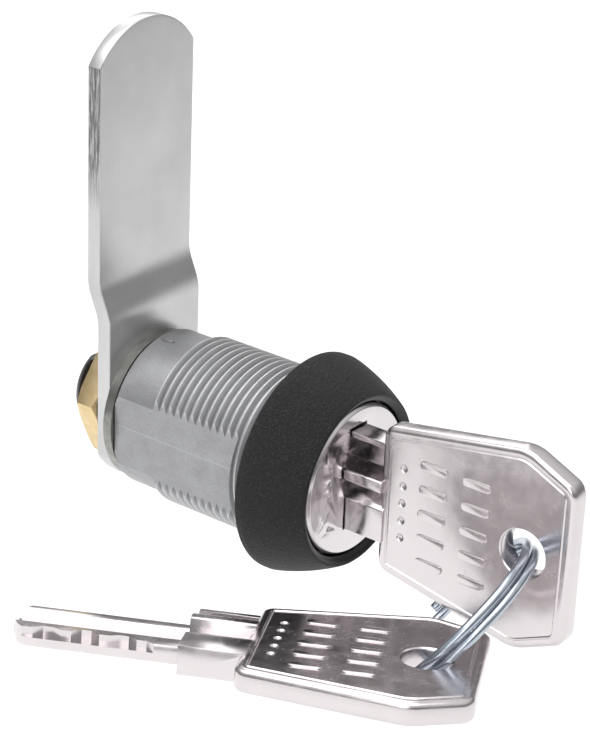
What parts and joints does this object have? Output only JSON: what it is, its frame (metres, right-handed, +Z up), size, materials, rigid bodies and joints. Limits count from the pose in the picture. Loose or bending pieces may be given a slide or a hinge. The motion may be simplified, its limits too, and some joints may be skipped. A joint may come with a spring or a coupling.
{
  "type": "cam lock",
  "caption": "Threaded cam lock with a black bezel, a long cranked cam, a key in its plug and a spare key on a split ring.",
  "frame": {"origin": "centre of the threaded shank in the plane of the panel, at the rear face of the bezel", "axes": "+Y along the lock's axis towards the cam and nut; the key goes in from -Y; +Z up along the cam at rest"},
  "size_m": [0.0499, 0.0653, 0.0599],
  "materials": {
    "zinc": "satin die-cast zinc",
    "black_plastic": "fine texture",
    "nickel": "polished nickel plate on die-cast zinc",
    "nickel_key": "satin nickel plate",
    "zinc_plate": "bright zinc plate",
    "dark_steel": "dark",
    "brass": "satin",
    "spring_steel": "bright wire"
  },
  "bodies": {
    "lock_body": {"housing": "zinc", "bezel": "black_plastic"},
    "plug": {"plug": "nickel", "stop_washer": "zinc_plate", "cam": "zinc_plate", "lock_washer": "dark_steel", "hex_nut": "brass", "keeper_wafer": "brass", "keeper_spring": "spring_steel", "wafer_spring_1": "spring_steel", "wafer_spring_2": "spring_steel", "wafer_spring_3": "spring_steel", "wafer_spring_4": "spring_steel", "wafer_spring_5": "spring_steel", "wafer_spring_6": "spring_steel", "wafer_spring_7": "spring_steel"},
    "key": {"key": "nickel_key"},
    "ring": {"key_ring": "spring_steel"},
    "spare_key": {"spare_key": "nickel_key"},
    "wafer_1": {"wafer_1": "brass"},
    "wafer_2": {"wafer_2": "brass"},
    "wafer_3": {"wafer_3": "brass"},
    "wafer_4": {"wafer_4": "brass"},
    "wafer_5": {"wafer_5": "brass"},
    "wafer_6": {"wafer_6": "brass"},
    "wafer_7": {"wafer_7": "brass"}
  },
  "joints": [
    {"name": "plug_turn", "type": "hinge", "parent": "lock_body", "child": "plug", "pos_m": [0, 0, 0], "axis": [0, 1, 0], "range_deg": [0, 90]},
    {"name": "key_slide", "type": "slide", "parent": "plug", "child": "key", "axis": [0, -1, 0], "range_m": [0, 0.024]},
    {"name": "ring_swing", "type": "hinge", "parent": "key", "child": "ring", "pos_m": [-0.0005, -0.0287, 0], "axis": [1, 0, 0], "range_deg": [-40, 2]},
    {"name": "spare_key_swing", "type": "hinge", "parent": "ring", "child": "spare_key", "pos_m": [-0.01647, -0.02788, -0.00706], "axis": [-0.1358, -0.0696, -0.9883], "range_deg": [-40, 5]},
    {"name": "wafer_1_slide", "type": "slide", "parent": "plug", "child": "wafer_1", "axis": [0, 0, 1], "range_m": [0, 0.0008], "deforming": ["wafer_spring_1"]},
    {"name": "wafer_2_slide", "type": "slide", "parent": "plug", "child": "wafer_2", "axis": [0, 0, 1], "range_m": [0, 0.0008], "deforming": ["wafer_spring_2"]},
    {"name": "wafer_3_slide", "type": "slide", "parent": "plug", "child": "wafer_3", "axis": [0, 0, 1], "range_m": [0, 0.0008], "deforming": ["wafer_spring_3"]},
    {"name": "wafer_4_slide", "type": "slide", "parent": "plug", "child": "wafer_4", "axis": [0, 0, 1], "range_m": [0, 0.0008], "deforming": ["wafer_spring_4"]},
    {"name": "wafer_5_slide", "type": "slide", "parent": "plug", "child": "wafer_5", "axis": [0, 0, 1], "range_m": [0, 0.0008], "deforming": ["wafer_spring_5"]},
    {"name": "wafer_6_slide", "type": "slide", "parent": "plug", "child": "wafer_6", "axis": [0, 0, 1], "range_m": [0, 0.0008], "deforming": ["wafer_spring_6"]},
    {"name": "wafer_7_slide", "type": "slide", "parent": "plug", "child": "wafer_7", "axis": [0, 0, 1], "range_m": [0, 0.0008], "deforming": ["wafer_spring_7"]}
  ],
  "couplings": [
    {"joint": "wafer_1_slide", "follows": "key_slide", "ratio": 0.033333},
    {"joint": "wafer_2_slide", "follows": "key_slide", "ratio": 0.033333},
    {"joint": "wafer_3_slide", "follows": "key_slide", "ratio": 0.033333},
    {"joint": "wafer_4_slide", "follows": "key_slide", "ratio": 0.033333},
    {"joint": "wafer_5_slide", "follows": "key_slide", "ratio": 0.033333},
    {"joint": "wafer_6_slide", "follows": "key_slide", "ratio": 0.033333},
    {"joint": "wafer_7_slide", "follows": "key_slide", "ratio": 0.033333}
  ]
}
